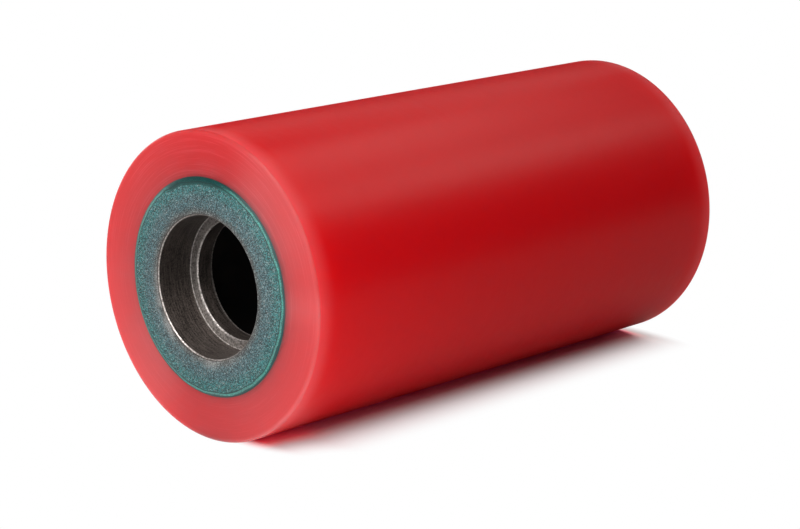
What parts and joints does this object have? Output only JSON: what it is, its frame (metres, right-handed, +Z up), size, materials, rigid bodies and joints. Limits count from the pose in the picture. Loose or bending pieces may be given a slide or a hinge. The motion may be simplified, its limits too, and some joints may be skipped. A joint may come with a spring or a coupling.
{
  "type": "conveyor roller",
  "caption": "Red polyurethane-covered hollow roller on a steel core, with an empty stepped bearing seat in each end for an axle that passes right through.",
  "frame": {"origin": "centre of the roller, on its axis, halfway between its ends", "axes": "+Y along the roller's axis towards the rear end, +Z up; the front end faces -Y"},
  "size_m": [0.102, 0.2012, 0.102],
  "materials": {
    "polyurethane": "satin, cast and turned, slightly translucent red",
    "primed_steel": "grit-blasted steel with a thin teal bonding agent, bare and oily in the seats"
  },
  "bodies": {
    "root": {"polyurethane_cover": "polyurethane", "core_tube": "primed_steel", "front_bearing_hub": "primed_steel", "rear_bearing_hub": "primed_steel", "front_weld_ring": "primed_steel", "rear_weld_ring": "primed_steel"}
  },
  "joints": []
}
